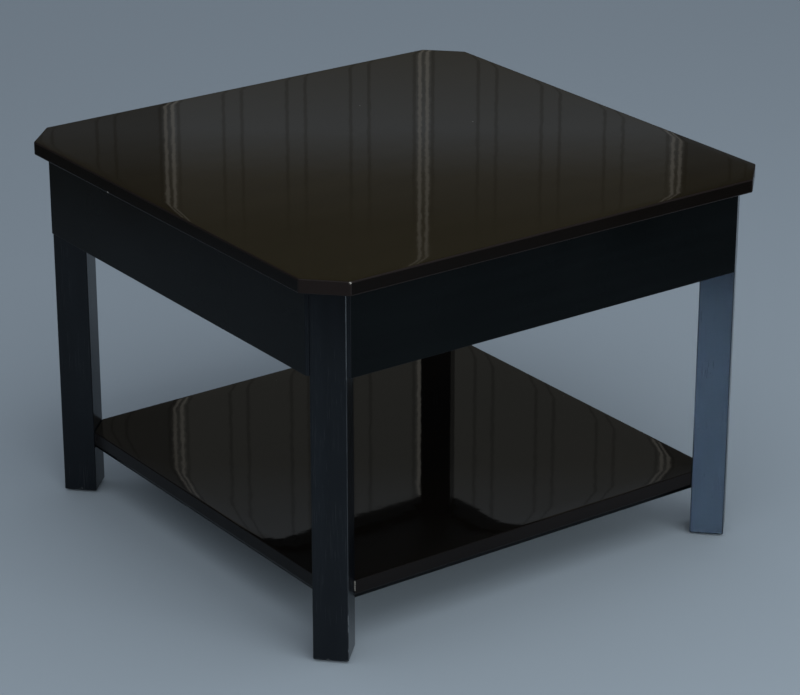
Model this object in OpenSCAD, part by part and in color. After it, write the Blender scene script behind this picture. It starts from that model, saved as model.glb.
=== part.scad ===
// Lift-top coffee table: a square lacquered top with clipped corners on a four-board box,
// four square posts set at 45 degrees, a low shelf, and a parallelogram lift mechanism inside.
// X runs along the front board, the user sits on the -Y side, Z is up and the floor is z = 0.

/* [Overall] */
// Height of the closed table
table_h = 502; // [440:1:560]
// Width and depth of the top panel
top_w = 700; // [640:1:760]
// Thickness of the top panel
top_t = 18; // [16:1:22]
// Length cut off each side of the top at a corner
top_clip = 43; // [35:1:55]
// Gap between the top panel and the box, held open by the bumpers
top_gap = 1.5; // [1:0.5:3]

/* [Box] */
// Outside width and depth of the box
box_w = 670; // [610:1:690]
// Height of the lower edge of the apron boards
apron_z = 375; // [340:1:400]
// Thickness of the apron boards
apron_t = 20; // [18:1:22]
// Width of the bevelled strip of apron beside each leg
apron_strip = 5; // [3:0.5:7]
// Thickness of the storage floor
floor_t = 9; // [6:1:12]
// Thickness of the cleats under the storage floor
cleat_t = 9; // [8:1:12]
// Width of the cleats
cleat_w = 15; // [12:1:18]
// Height of the corner blocks
block_h = 40; // [30:1:46]
// Thickness of the corner blocks behind the legs
block_t = 22; // [18:1:26]

/* [Legs] */
// Side of the square legs
leg_w = 44; // [40:1:48]
// Thickness of the foot glides
glide_t = 2; // [2:0.5:3]
// Radius of the foot glides
glide_r = 13; // [10:1:16]

/* [Shelf] */
// Height of the shelf's upper face
shelf_z = 91; // [80:1:140]
// Thickness of the shelf
shelf_t = 27; // [22:1:30]
// Height of the chamfer under the shelf's sides
chamfer_h = 9; // [5:1:11]
// Depth of the chamfer under the shelf's sides
chamfer_d = 6; // [4:1:8]

/* [Lift mechanism] */
// Length of the arms between pivots
arm_l = 200; // [180:1:210]
// Width of the arms
arm_w = 22; // [20:1:24]
// Thickness of the arms
arm_t = 4; // [3:0.5:5]
// Angle of the arms above the horizontal when closed
arm_rest = 4; // [3:1:6]
// Angle the arms turn through when the top is raised
arm_travel = 121; // [110:1:123]
// Distance of the front base pivot in front of the table's centre
pivot_y = 175; // [160:1:190]
// Height of the front base pivot above the storage floor
pivot_rise = 41; // [38:1:46]
// Distance between the front and rear pivots, front to back
pivot_step = 110; // [100:1:120]
// Drop from the front pivots to the rear pivots
pivot_drop = 26; // [24:1:27]
// Radius of the pivot pins
pin_r = 4; // [3.5:0.5:5]
// Radial running clearance of a bush on its pin
pin_play = 0.05; // [0.02:0.01:0.1]
// Radial clearance at the rear arms' upper pivots
open_play = 0.3; // [0.2:0.1:0.5]
// Thickness of the steel brackets
plate_t = 2.5; // [2:0.5:3]

/* [Hidden] */
$fn = 48;

half_box = box_w / 2;
half_top = top_w / 2;
top_z = table_h - top_t;              // underside of the top panel
box_top = top_z - top_gap;            // upper edge of the aprons and legs
leg_cut = leg_w / sqrt(2);            // plan length of a leg face along X or Y
box_clip = (leg_w + 2 * apron_strip) / sqrt(2);
leg_out = (2 * half_box - box_clip) / sqrt(2);   // leg's outer face from the table's axis
leg_mid = leg_out - leg_w / 2;
leg_in = leg_out - leg_w;
corner_angles = [225, 315, 45, 135];  // front left, front right, back right, back left

// The shelf's sides stand in line with the legs' inner corners
half_shelf = half_box - (box_clip + leg_cut) / 2;
shelf_clip = 2 * half_shelf - leg_in * sqrt(2);
dowel_r = 4;
dowel_l = 24;
dowel_step = 11;                      // dowels to each side of a leg's middle
nail_r = 1.5;                         // nails of the foot glides
nail_l = 12;

floor_z = apron_z + cleat_t;
floor_top = floor_z + floor_t;
fit_gap = 0.5;                        // gap round the loose storage floor
inner = half_box - apron_t;           // inside face of the aprons
cleat_gap = 4;                        // gap between the ends of neighbouring cleats
over = 1;                             // how far a cutting body stands past the face it opens

block_front = leg_in - block_t;
block_screw_r = 2;
block_screw_l = 24;
block_screw_in = 9;                   // depth of the block screws in the aprons
block_screw_u = 96;                   // block screws from the box's side faces
block_screw_step = 10;                // block screws above and below the block's middle
block_bore = 40;                      // length of the driver's bore into a block
bolt_r = 4;
bolt_leg = 28;                        // depth of the hanger bolt in the leg
bolt_tail = 12;
nut_t = 6.5;
nut_r = 7.5;
washer_t = 1.5;
washer_r = 9;

bumper_r = 6;
bumper_x = 200;
bumper_in = 3;

// Side to side, from the apron inwards: base plate, arm between bush flanges, top plate
arm_x = inner - plate_t - 1;          // outer face of the arms
flange_t = 0.8;
flange_r = 9;
bush_r = 6;
top_plate_x = arm_x - arm_t - 1;      // outer face of the top plates
head_t = 1.8;                         // rivet heads
head_r = 8;
shoulder = 1;                         // rivets stand past the arms by this much
top_flange = 20;                      // width of the top brackets' flange
top_plate_y = 2;                      // front end of the top plates
top_plate_back = 30;                  // top plates run past the rear pivot
pin_margin = 13;                      // plate left round a pivot

base_front = [-pivot_y, floor_top + pivot_rise];
base_rear = base_front + [pivot_step, -pivot_drop];
reach = arm_l * [cos(arm_rest), sin(arm_rest)];
top_front = base_front + reach;
top_rear = base_rear + reach;

spring_turns = 6;
spring_r = 8.6;
spring_wire = 1.4;                    // radius of the wire
spring_pitch = 3.0;
spring_len = spring_turns * spring_pitch;
spring_gap = 0.4;                     // between the arm's rivet shoulder and the spring

base_plate_y = [-200, -34];           // front and back ends of the base plates
base_plate_rise = [22, 26];           // plate above the front and rear base pivots
stop_margin = 11;                     // plate left round the stop roller

stop_r = 5;
stop_out = 45;                        // distance of the stop along the raised arm
open_angle = arm_rest + arm_travel;
stop_at = base_front + stop_out * [cos(open_angle), sin(open_angle)]
  + (arm_w / 2 + stop_r + fit_gap / 2) * [-sin(open_angle), cos(open_angle)];

screw_r = 2;
screw_head_r = 4;
screw_head_t = 2;
screw_play = 0.25;                    // radial clearance of a screw in a plate
sunk_head_t = 0.9;                    // flat heads of the base plate screws
base_screws = [[-185, 404], [-112, 404], [-112, 440], [-52, 432]];
base_screw_l = 13;
top_screw_l = 13;
top_screws = [[20, 10], [65, 10], [105, 10], [150, 10]];   // [y, distance in from the plate]

// A square of half width h with its corners cut back by clip
module clipped_square(h, clip) {
  polygon([
    [h - clip, -h], [h, clip - h], [h, h - clip], [h - clip, h],
    [clip - h, h], [-h, h - clip], [-h, clip - h], [clip - h, -h]
  ]);
}

// Children drawn on the +X radius, turned to one corner
module at_corner(k) {
  rotate([0, 0, corner_angles[k]]) children();
}

// A cylinder along +X from x0 to x1
module rod_x(x0, x1, r) {
  translate([x0, 0, 0]) rotate([0, 90, 0]) cylinder(r = r, h = x1 - x0);
}

// Children of the right-hand side placed at [y, z] in the mechanism's plane, on side -1 or 1
module on_side(side, at) {
  if (side > 0) translate([0, at[0], at[1]]) children();
  else mirror([1, 0, 0]) translate([0, at[0], at[1]]) children();
}

// A plate in the YZ plane from a flat outline, its outer face at x
module plate_x(x, t) {
  translate([x - t, 0, 0]) rotate([90, 0, 90]) linear_extrude(t) children();
}

// ---- Top ----
module top_panel() {
  color("#20140f") difference() {
    translate([0, 0, top_z]) linear_extrude(top_t) clipped_square(half_top, top_clip);
    for (side = [-1, 1], s = top_screws)
      on_side(side, [s[0], top_z - over])
        translate([top_plate_x - plate_t - s[1], 0, 0])
          cylinder(r = screw_r, h = top_screw_l - plate_t + over);
  }
}

module top_bracket(side) {
  color("#a9abad") on_side(side, [0, 0]) difference() {
    union() {
      plate_x(top_plate_x, plate_t) polygon([
        [top_plate_y, top_z],
        [top_plate_y, top_front[1] - pin_margin / 2],
        top_front - [pin_margin / 2, pin_margin],
        [(top_front[0] + top_rear[0]) / 2 - pin_margin, top_rear[1] - pin_margin],
        top_rear - [0, pin_margin],
        top_rear + [pin_margin, 0],
        [top_rear[0] + top_plate_back, top_z - top_flange],
        [top_rear[0] + top_plate_back, top_z]
      ]);
      translate([top_plate_x - plate_t - top_flange, top_plate_y, top_z - plate_t])
        cube([top_flange + plate_t, top_rear[0] + top_plate_back - top_plate_y, plate_t]);
    }
    for (p = [top_front, top_rear])
      translate([0, p[0], p[1]]) rod_x(top_plate_x - plate_t - over, top_plate_x + over, pin_r);
    for (s = top_screws)
      translate([top_plate_x - plate_t - s[1], s[0], top_z - plate_t - over])
        cylinder(r = screw_r + screw_play, h = plate_t + 2 * over);
  }
}

module top_bracket_left() { top_bracket(-1); }
module top_bracket_right() { top_bracket(1); }

module top_bracket_screws() {
  color("#c4c6c8") for (side = [-1, 1], s = top_screws)
    on_side(side, [s[0], top_z - plate_t])
      translate([top_plate_x - plate_t - s[1], 0, 0]) {
        cylinder(r = screw_r, h = top_screw_l);
        translate([0, 0, -screw_head_t]) cylinder(r1 = screw_head_r - 1, r2 = screw_head_r, h = screw_head_t);
      }
}

// Shouldered rivets fast in the top plates, their outer heads holding the arms
module top_pivot_pins() {
  color("#8f9194") for (side = [-1, 1], p = [top_front, top_rear]) on_side(side, p) {
    rod_x(top_plate_x - plate_t, arm_x + shoulder, pin_r);
    rod_x(top_plate_x - plate_t - head_t, top_plate_x - plate_t, head_r);
    rod_x(arm_x + shoulder, arm_x + shoulder + head_t, head_r);
  }
}

// ---- Arms ----
module arm(side, from) {
  color("#97999c") on_side(side, from) rotate([arm_rest, 0, 0]) difference() {
    plate_x(arm_x, arm_t) {
      translate([0, -arm_w / 2]) square([arm_l, arm_w]);
      circle(r = arm_w / 2);
      translate([arm_l, 0]) circle(r = arm_w / 2);
    }
    for (y = [0, arm_l]) translate([0, y, 0]) rod_x(arm_x - arm_t - over, arm_x + over, bush_r);
  }
}

module front_arm_left() { arm(-1, base_front); }
module front_arm_right() { arm(1, base_front); }
module rear_arm_left() { arm(-1, base_rear); }
module rear_arm_right() { arm(1, base_rear); }

// Flanged nylon bush pressed in an arm's end
module bush(play) {
  difference() {
    union() {
      rod_x(arm_x - arm_t, arm_x, bush_r);
      rod_x(arm_x - arm_t - flange_t, arm_x - arm_t, flange_r);
      rod_x(arm_x, arm_x + flange_t, flange_r);
    }
    rod_x(arm_x - arm_t - 2 * over, arm_x + 2 * over, pin_r + play);
  }
}

module front_arm_bushes() {
  color("#e8e6de") for (side = [-1, 1], p = [base_front, top_front]) on_side(side, p) bush(pin_play);
}

module rear_arm_bushes() {
  color("#e8e6de") for (side = [-1, 1]) {
    on_side(side, base_rear) bush(pin_play);
    on_side(side, top_rear) bush(open_play);
  }
}

// ---- Fixed side of the mechanism ----
module base_bracket(side) {
  color("#a9abad") on_side(side, [0, 0]) difference() {
    plate_x(inner, plate_t)
      polygon([
        [base_plate_y[0], floor_top],
        [base_plate_y[1], floor_top],
        [base_plate_y[1], base_rear[1] + base_plate_rise[1]],
        [(base_front[0] + base_plate_y[1]) / 2, base_front[1] + base_plate_rise[0]],
        [base_front[0] + 2 * pin_margin, stop_at[1] + stop_margin],
        stop_at + [-stop_margin, stop_margin],
        stop_at - [stop_margin, pin_margin],
        [base_plate_y[0], base_front[1] - stop_margin]
      ]);
    for (p = [base_front, base_rear, stop_at])
      translate([0, p[0], p[1]]) rod_x(inner - plate_t - over, inner + over, pin_r);
    for (s = base_screws)
      translate([0, s[0], s[1]]) rod_x(inner - plate_t - over, inner + over, screw_r + screw_play);
  }
}

module base_bracket_left() { base_bracket(-1); }
module base_bracket_right() { base_bracket(1); }

module base_bracket_screws() {
  color("#c4c6c8") for (side = [-1, 1], s = base_screws) on_side(side, s) {
    rod_x(inner - plate_t, inner - plate_t + base_screw_l, screw_r);
    rod_x(inner - plate_t - sunk_head_t, inner - plate_t, screw_head_r);
  }
}

// Rivets fast in the base plates; the rear ones run on inwards through the springs
module base_pivot_pins() {
  color("#8f9194") for (side = [-1, 1]) {
    on_side(side, base_front) {
      rod_x(arm_x - arm_t - shoulder, inner, pin_r);
      rod_x(arm_x - arm_t - shoulder - head_t, arm_x - arm_t - shoulder, head_r);
    }
    on_side(side, base_rear) {
      spring_end = arm_x - arm_t - 2 * shoulder - spring_len;
      rod_x(spring_end, inner, pin_r);
      rod_x(spring_end - head_t, spring_end, spring_r + spring_wire);
    }
  }
}

// A closed coil about +X, swept from rings of round wire
module torsion_spring(side) {
  steps = 14;
  sides = 8;
  last = spring_turns * steps;
  x0 = arm_x - arm_t - shoulder - spring_gap - spring_len + spring_wire;
  run = spring_len - 2 * spring_wire;
  points = [for (i = [0:last], j = [0:sides - 1])
    let (turn = 360 * i / steps, bend = 360 * j / sides, r = spring_r + spring_wire * cos(bend))
    [x0 + run * i / last + spring_wire * sin(bend), r * cos(turn), r * sin(turn)]];
  walls = [for (i = [0:last - 1], j = [0:sides - 1])
    let (a = i * sides + j, b = i * sides + (j + 1) % sides)
    [a, b, b + sides, a + sides]];
  ends = [[for (j = [sides - 1:-1:0]) j], [for (j = [0:sides - 1]) last * sides + j]];
  color("#6f7276") on_side(side, base_rear) polyhedron(points, concat(walls, ends), 4);
}

module torsion_spring_left() { torsion_spring(-1); }
module torsion_spring_right() { torsion_spring(1); }

// Rubber rollers on studs that stop the front arms when the top is up
module stop_buffers() {
  color("#1a1a1a") for (side = [-1, 1]) on_side(side, stop_at) {
    rod_x(arm_x - arm_t, inner - plate_t, stop_r);
    rod_x(inner - plate_t, inner, pin_r);
  }
}

// ---- Legs ----
module leg(k) {
  color("#0d0f11") difference() {
    at_corner(k) translate([leg_mid - leg_w / 2, -leg_w / 2, glide_t])
      cube([leg_w, leg_w, box_top - glide_t]);
    at_corner(k) translate([0, 0, floor_top + block_h / 2]) rod_x(leg_in - over, leg_in + bolt_leg, bolt_r);
    at_corner(k) for (y = [-dowel_step, dowel_step])
      translate([0, y, shelf_z - shelf_t / 2]) rod_x(leg_in - over, leg_in + dowel_l / 2, dowel_r);
    at_corner(k) translate([leg_mid, 0, glide_t - over]) cylinder(r = nail_r, h = nail_l + over);
  }
}

module leg_front_left() { leg(0); }
module leg_front_right() { leg(1); }
module leg_back_right() { leg(2); }
module leg_back_left() { leg(3); }

// Nail-on glides
module foot_glides() {
  color("#3a3a38") for (k = [0:3]) at_corner(k) translate([leg_mid, 0, 0]) {
    cylinder(r = glide_r, h = glide_t);
    translate([0, 0, glide_t]) cylinder(r = nail_r, h = nail_l);
  }
}

// ---- Box ----
// A board along X with its outer face at y = -half_box, its ends cut round the legs
module apron_board() {
  side_pts = [[half_box - box_clip, -half_box],
    [half_box - (box_clip + leg_cut) / 2, (box_clip - leg_cut) / 2 - half_box],
    [half_box - leg_cut - apron_t, -inner]];
  difference() {
    translate([0, 0, apron_z]) linear_extrude(box_top - apron_z)
      polygon(concat(side_pts, [for (i = [2:-1:0]) [-side_pts[i][0], side_pts[i][1]]]));
    for (x = [-1, 1], dz = [-block_screw_step, block_screw_step])
      translate([x * (half_box - block_screw_u), over - inner, floor_top + block_h / 2 + dz])
        rotate([90, 0, 0]) cylinder(r = block_screw_r, h = block_screw_in + over);
  }
}

module bumper_seats() {
  for (x = [-1, 1]) translate([x * bumper_x, apron_t / 2 - half_box, box_top - bumper_in])
    cylinder(r = bumper_r, h = bumper_in + over);
}

module side_apron(side) {
  color("#0c0f12") difference() {
    rotate([0, 0, side * 90]) apron_board();
    for (s = base_screws) on_side(side, s) rod_x(inner - over, inner - plate_t + base_screw_l, screw_r);
  }
}

module apron_front() {
  color("#0c0f12") difference() {
    apron_board();
    bumper_seats();
  }
}

module apron_back() {
  rotate([0, 0, 180]) apron_front();
}

module apron_left() { side_apron(-1); }
module apron_right() { side_apron(1); }

module top_bumpers() {
  color("#2b2b2b") for (turn = [0, 180], x = [-1, 1]) rotate([0, 0, turn])
    translate([x * bumper_x, apron_t / 2 - half_box, box_top - bumper_in])
      cylinder(r = bumper_r, h = bumper_in + top_gap);
}

module box_floor() {
  color("#15120f") translate([0, 0, floor_z]) linear_extrude(floor_t)
    clipped_square(inner - fit_gap, 2 * (inner - fit_gap) - (leg_in - fit_gap) * sqrt(2));
}

module cleat(turn) {
  cleat_half = half_box - leg_cut - apron_t - cleat_w - cleat_gap;
  color("#0c0f12") rotate([0, 0, turn])
    translate([-cleat_half, -inner, apron_z]) cube([2 * cleat_half, cleat_w, cleat_t]);
}

module cleat_front() { cleat(0); }
module cleat_right() { cleat(90); }
module cleat_back() { cleat(180); }
module cleat_left() { cleat(270); }

// Places of the corner block screws, in the radial frame of a corner
module block_screw_places() {
  for (s = [-1, 1], dz = [-block_screw_step, block_screw_step]) rotate([0, 0, s * 45])
    translate([inner, -s * (half_box - block_screw_u), floor_top + block_h / 2 + dz]) children();
}

module corner_block(k) {
  color("#b08c5c") at_corner(k) difference() {
    intersection() {
      rotate([0, 0, 45]) translate([-inner, -inner, floor_top]) cube([2 * inner, 2 * inner, block_h]);
      translate([block_front, -inner, floor_top]) cube([block_t, 2 * inner, block_h]);
    }
    translate([0, 0, floor_top + block_h / 2]) rod_x(block_front - over, leg_in + over, bolt_r + fit_gap);
    block_screw_places() {
      rod_x(-block_bore, over, block_screw_r + screw_play);
      rod_x(-block_bore, block_screw_in - block_screw_l, screw_head_r + fit_gap);
    }
  }
}

module corner_block_front_left() { corner_block(0); }
module corner_block_front_right() { corner_block(1); }
module corner_block_back_right() { corner_block(2); }
module corner_block_back_left() { corner_block(3); }

module corner_block_screws() {
  color("#c4c6c8") for (k = [0:3]) at_corner(k) block_screw_places() {
    rod_x(block_screw_in - block_screw_l, block_screw_in, block_screw_r);
    rod_x(block_screw_in - block_screw_l - screw_head_t, block_screw_in - block_screw_l, screw_head_r);
  }
}

module hanger_bolts() {
  color("#b9bbbd") for (k = [0:3]) at_corner(k) translate([0, 0, floor_top + block_h / 2])
    rod_x(block_front - bolt_tail, leg_in + bolt_leg, bolt_r);
}

module hanger_nuts() {
  color("#c4c6c8") for (k = [0:3]) at_corner(k) translate([0, 0, floor_top + block_h / 2]) difference() {
    union() {
      rod_x(block_front - washer_t, block_front, washer_r);
      translate([block_front - washer_t - nut_t, 0, 0])
        rotate([0, 90, 0]) cylinder(r = nut_r, h = nut_t, $fn = 6);
    }
    rod_x(block_front - bolt_tail - over, block_front + over, bolt_r);
  }
}

// ---- Shelf ----
// A long wedge that planes the chamfer under the shelf's front side
module chamfer_wedge() {
  translate([-half_shelf, -half_shelf, shelf_z - shelf_t]) rotate([90, 0, 90]) linear_extrude(2 * half_shelf)
    polygon([
      [-over, -over],
      [chamfer_d * (1 + over / chamfer_h), -over],
      [-over, chamfer_h * (1 + over / chamfer_d)]
    ]);
}

module shelf() {
  color("#1b1210") difference() {
    translate([0, 0, shelf_z - shelf_t]) linear_extrude(shelf_t) clipped_square(half_shelf, shelf_clip);
    for (turn = [0:90:270]) rotate([0, 0, turn]) chamfer_wedge();
    for (k = [0:3]) at_corner(k) for (y = [-dowel_step, dowel_step])
      translate([0, y, shelf_z - shelf_t / 2]) rod_x(leg_in - dowel_l / 2, leg_in + over, dowel_r);
  }
}

module shelf_dowels() {
  color("#c8a673") for (k = [0:3]) at_corner(k) for (y = [-dowel_step, dowel_step])
    translate([0, y, shelf_z - shelf_t / 2]) rod_x(leg_in - dowel_l / 2, leg_in + dowel_l / 2, dowel_r);
}

top_panel();
top_bracket_left();
top_bracket_right();
top_bracket_screws();
top_pivot_pins();
front_arm_left();
front_arm_right();
front_arm_bushes();
rear_arm_left();
rear_arm_right();
rear_arm_bushes();
base_bracket_left();
base_bracket_right();
base_bracket_screws();
base_pivot_pins();
torsion_spring_left();
torsion_spring_right();
stop_buffers();
leg_front_left();
leg_front_right();
leg_back_left();
leg_back_right();
foot_glides();
apron_front();
apron_back();
apron_left();
apron_right();
top_bumpers();
shelf();
shelf_dowels();
box_floor();
cleat_front();
cleat_back();
cleat_left();
cleat_right();
corner_block_front_left();
corner_block_front_right();
corner_block_back_left();
corner_block_back_right();
corner_block_screws();
hanger_bolts();
hanger_nuts();
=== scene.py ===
import math

import bmesh
import bpy
from mathutils import Euler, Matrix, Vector


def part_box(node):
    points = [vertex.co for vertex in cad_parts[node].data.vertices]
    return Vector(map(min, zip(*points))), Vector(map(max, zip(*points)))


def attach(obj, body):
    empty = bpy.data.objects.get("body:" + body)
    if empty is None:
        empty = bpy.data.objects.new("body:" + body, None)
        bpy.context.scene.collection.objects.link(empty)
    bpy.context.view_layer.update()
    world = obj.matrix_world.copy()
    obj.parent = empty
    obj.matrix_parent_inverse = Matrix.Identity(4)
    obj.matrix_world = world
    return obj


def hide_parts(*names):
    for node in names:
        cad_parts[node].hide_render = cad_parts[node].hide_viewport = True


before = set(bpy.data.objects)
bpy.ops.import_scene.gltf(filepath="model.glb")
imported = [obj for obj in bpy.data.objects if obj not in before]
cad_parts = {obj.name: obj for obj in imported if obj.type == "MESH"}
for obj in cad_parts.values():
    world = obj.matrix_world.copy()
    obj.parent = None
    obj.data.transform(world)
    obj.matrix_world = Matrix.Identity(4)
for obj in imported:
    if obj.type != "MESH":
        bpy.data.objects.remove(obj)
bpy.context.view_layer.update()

# ---- Camera -------------------------------------------------------------------------------------
# A long lens looks down on the table's front left corner from standing height, nearly four metres
# away, so that the far side of the top is hardly narrower than the near side.
camera_azimuth = math.radians(-35.78)
camera_elevation = math.radians(22.31)
camera_distance = 3.839
camera_aim = Vector((-0.0168, -0.0437, 0.25))
camera_back = Vector((
    math.sin(camera_azimuth) * math.cos(camera_elevation),
    -math.cos(camera_azimuth) * math.cos(camera_elevation),
    math.sin(camera_elevation),
))

bpy.ops.object.select_all(action="DESELECT")
bpy.ops.object.camera_add(location=camera_aim + camera_back * camera_distance)
camera = bpy.context.object
camera.name = "camera"
camera.rotation_euler = (math.pi / 2 - camera_elevation, 0, camera_azimuth)
camera.data.sensor_width = 36
camera.data.lens = 132.7
camera.data.clip_end = 100
bpy.context.scene.camera = camera
bpy.context.scene.view_settings.view_transform = "Standard"

# ---- Studio -------------------------------------------------------------------------------------
# A pale matt floor under a pale dome, with one big soft light overhead and one low in front. Grooved
# screens glow round the table unseen; their painted glow shows only as the quiet upright lines in its gloss.
dome = bpy.data.worlds.new("dome")
dome.use_nodes = True
bpy.context.scene.world = dome
sky_nodes = dome.node_tree.nodes
sky_links = dome.node_tree.links
sky_where = sky_nodes.new("ShaderNodeTexCoord")
sky_split = sky_nodes.new("ShaderNodeSeparateXYZ")
sky_ramp = sky_nodes.new("ShaderNodeValToRGB")
sky_ramp.color_ramp.elements[0].color = (0.21, 0.235, 0.26, 1)
sky_ramp.color_ramp.elements[1].color = (0.40, 0.43, 0.47, 1)
sky_links.new(sky_where.outputs["Generated"], sky_split.inputs["Vector"])
sky_links.new(sky_split.outputs["Z"], sky_ramp.inputs["Fac"])
sky_links.new(sky_ramp.outputs["Color"], sky_nodes["Background"].inputs["Color"])


def add_softbox(name, place, aim, size, watts, tint=(1, 1, 1)):
    """A soft rectangular studio light that the camera doesn't see."""
    bpy.ops.object.light_add(type="AREA", location=place)
    softbox = bpy.context.object
    softbox.name = name
    softbox.rotation_euler = (Vector(aim) - Vector(place)).to_track_quat("-Z", "Y").to_euler()
    softbox.data.shape = "RECTANGLE"
    softbox.data.size = size[0]
    softbox.data.size_y = size[1]
    softbox.data.energy = watts
    softbox.data.color = tint
    softbox.visible_camera = False
    return softbox


add_softbox("overhead_softbox", (-0.3, -1.4, 3.0), (-0.1, -0.7, 0), (3.4, 3.0), 30, (0.93, 0.97, 1.0))
add_softbox("front_softbox", (-0.3, -3.1, 0.85), (0, 0, 0.1), (3.4, 1.2), 50, (0.90, 0.97, 1.0))

# A light just under floor level reaches the front right post only, for a cool grey sheen
right_post = bpy.data.collections.new("right_post")
bpy.context.scene.collection.children.link(right_post)
post_light = add_softbox(
    "right_post_light", (-0.10, -0.746, -0.14), (0.335, -0.335, 0.10), (0.5, 0.5), 2.8, (0.40, 0.64, 1.0))
post_light.light_linking.receiver_collection = right_post
post_light.light_linking.blocker_collection = right_post
post_light.data.cycles.use_multiple_importance_sampling = False

# The screens glow: pressed panels with paired grooves, joined by pairs of pale battens, all painted into
# their glow
away = Vector((-camera_back.x, -camera_back.y, 0)).normalized()
screen_out = 1.45
screen_size = (5.2, 2.3)
batten_pitch = 0.456
batten_shift = -0.054
batten_gap = 0.0066
batten_half = 0.0030
groove_pitch = batten_pitch / 4
groove_gap = 0.0165
groove_half = 0.0030
groove_fade = (0.44, 0.58)      # parts of the screen's height where the grooves turn dark to pale
groove_shade = (0.70, 1.30)
bay_edge = 0.012
outer_bay_share = 0.52
batten_glow = (0.150, 0.140, 0.122, 1)


def start_finish(name):
    """A new material with its nodes, its links and its main shader."""
    finish = bpy.data.materials.new(name)
    finish.use_nodes = True
    tree = finish.node_tree
    return finish, tree.nodes, tree.links, tree.nodes["Principled BSDF"]


def reckon(nodes, links, operation, first, *rest):
    """One step of arithmetic on a pattern, with plain numbers or other patterns."""
    step = nodes.new("ShaderNodeMath")
    step.operation = operation
    links.new(first, step.inputs[0])
    for socket, value in zip(step.inputs[1:], rest):
        if isinstance(value, (int, float)):
            socket.default_value = value
        else:
            links.new(value, socket)
    return step.outputs["Value"]


def spread(nodes, links, value, start, end, low, high):
    """Stretches the part of a pattern between start and end over low to high."""
    stretch = nodes.new("ShaderNodeMapRange")
    stretch.inputs["From Min"].default_value = start
    stretch.inputs["From Max"].default_value = end
    stretch.inputs["To Min"].default_value = low
    stretch.inputs["To Max"].default_value = high
    links.new(value, stretch.inputs["Value"])
    return stretch.outputs["Result"]


def glowing_screen(name, across):
    """A glowing grey-brown screen, brightest at sitting height, with the grooves and battens painted into its
    glow.
    """
    finish, nodes, links, shader = start_finish(name)
    where = nodes.new("ShaderNodeTexCoord")
    sideways = nodes.new("ShaderNodeVectorMath")
    sideways.operation = "DOT_PRODUCT"
    sideways.inputs[1].default_value = across
    upright = nodes.new("ShaderNodeSeparateXYZ")
    links.new(where.outputs["Object"], sideways.inputs[0])
    links.new(where.outputs["Object"], upright.inputs["Vector"])
    level = nodes.new("ShaderNodeValToRGB")
    rise = reckon(nodes, links, "DIVIDE", upright.outputs["Z"], screen_size[1])
    links.new(rise, level.inputs["Fac"])
    level.color_ramp.elements[0].color = (0.075, 0.075, 0.066, 1)
    level.color_ramp.elements[1].color = (0.02, 0.018, 0.014, 1)
    for height, shade in (
        (0.34, (0.100, 0.100, 0.091)),
        (0.41, (0.150, 0.163, 0.175)),
        (0.45, (0.086, 0.083, 0.071)),
        (0.49, (0.064, 0.060, 0.045)),
        (0.54, (0.066, 0.062, 0.044)),
        (0.62, (0.053, 0.046, 0.028)),
    ):
        stop = level.color_ramp.elements.new(height)
        stop.color = (*shade, 1)
    bay = reckon(nodes, links, "ADD", sideways.outputs["Value"], batten_shift)
    batten = reckon(nodes, links, "COMPARE", reckon(nodes, links, "PINGPONG", bay, batten_pitch / 2),
                    batten_gap, batten_half)
    groove = reckon(nodes, links, "COMPARE", reckon(nodes, links, "PINGPONG", bay, groove_pitch / 2),
                    groove_gap, groove_half)
    shaded = nodes.new("ShaderNodeMix")
    shaded.data_type = "RGBA"
    shaded.blend_type = "MULTIPLY"
    glint = spread(nodes, links, rise, *groove_fade, *groove_shade)
    links.new(glint, shaded.inputs["B"])
    links.new(groove, shaded.inputs["Factor"])
    middle = spread(nodes, links, reckon(nodes, links, "ABSOLUTE", bay),
                    batten_pitch - bay_edge, batten_pitch + bay_edge, 1.0, outer_bay_share)
    dimmed = nodes.new("ShaderNodeVectorMath")
    dimmed.operation = "SCALE"
    links.new(level.outputs["Color"], dimmed.inputs[0])
    links.new(middle, dimmed.inputs["Scale"])
    links.new(dimmed.outputs["Vector"], shaded.inputs["A"])
    lit = nodes.new("ShaderNodeMix")
    lit.data_type = "RGBA"
    lit.blend_type = "ADD"
    lit.inputs["B"].default_value = batten_glow
    links.new(batten, lit.inputs["Factor"])
    links.new(shaded.outputs["Result"], lit.inputs["A"])
    # The painted pattern is given off as light: the screen glows though it is no lamp
    links.new(lit.outputs["Result"], shader.inputs["Emission Color"])
    shader.inputs["Emission Strength"].default_value = 1.0
    shader.inputs["Base Color"].default_value = (0, 0, 0, 1)
    shader.inputs["Specular IOR Level"].default_value = 0.0
    return finish


for quarter in range(4):
    outwards = Vector(away)
    outwards.rotate(Euler((0, 0, quarter * math.pi / 2)))
    sideways_way = Vector((outwards.y, -outwards.x, 0))
    bpy.ops.object.select_all(action="DESELECT")
    bpy.ops.mesh.primitive_plane_add(
        size=1,
        location=outwards * screen_out + Vector((0, 0, screen_size[1] / 2)),
        rotation=(math.pi / 2, 0, math.atan2(sideways_way.y, sideways_way.x)),
    )
    screen = bpy.context.object
    screen.name = "mirror_screen_%d" % (quarter + 1)
    screen.scale = (screen_size[0], screen_size[1], 1)
    bpy.ops.object.transform_apply(location=True, rotation=True, scale=True)
    screen.data.materials.append(glowing_screen("screen_paint_%d" % (quarter + 1), sideways_way))
    screen.visible_camera = False
    screen.visible_diffuse = False
    screen.visible_shadow = False

bpy.ops.mesh.primitive_plane_add(size=60, location=(0, 0, 0))
studio_floor = bpy.context.object
studio_floor.name = "studio_floor"
floor_paint, nodes, links, shader = start_finish("floor_paint")
shader.inputs["Base Color"].default_value = (0.37, 0.425, 0.475, 1)
shader.inputs["Roughness"].default_value = 1.0
shader.inputs["Specular IOR Level"].default_value = 0.0
studio_floor.data.materials.append(floor_paint)

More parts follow.
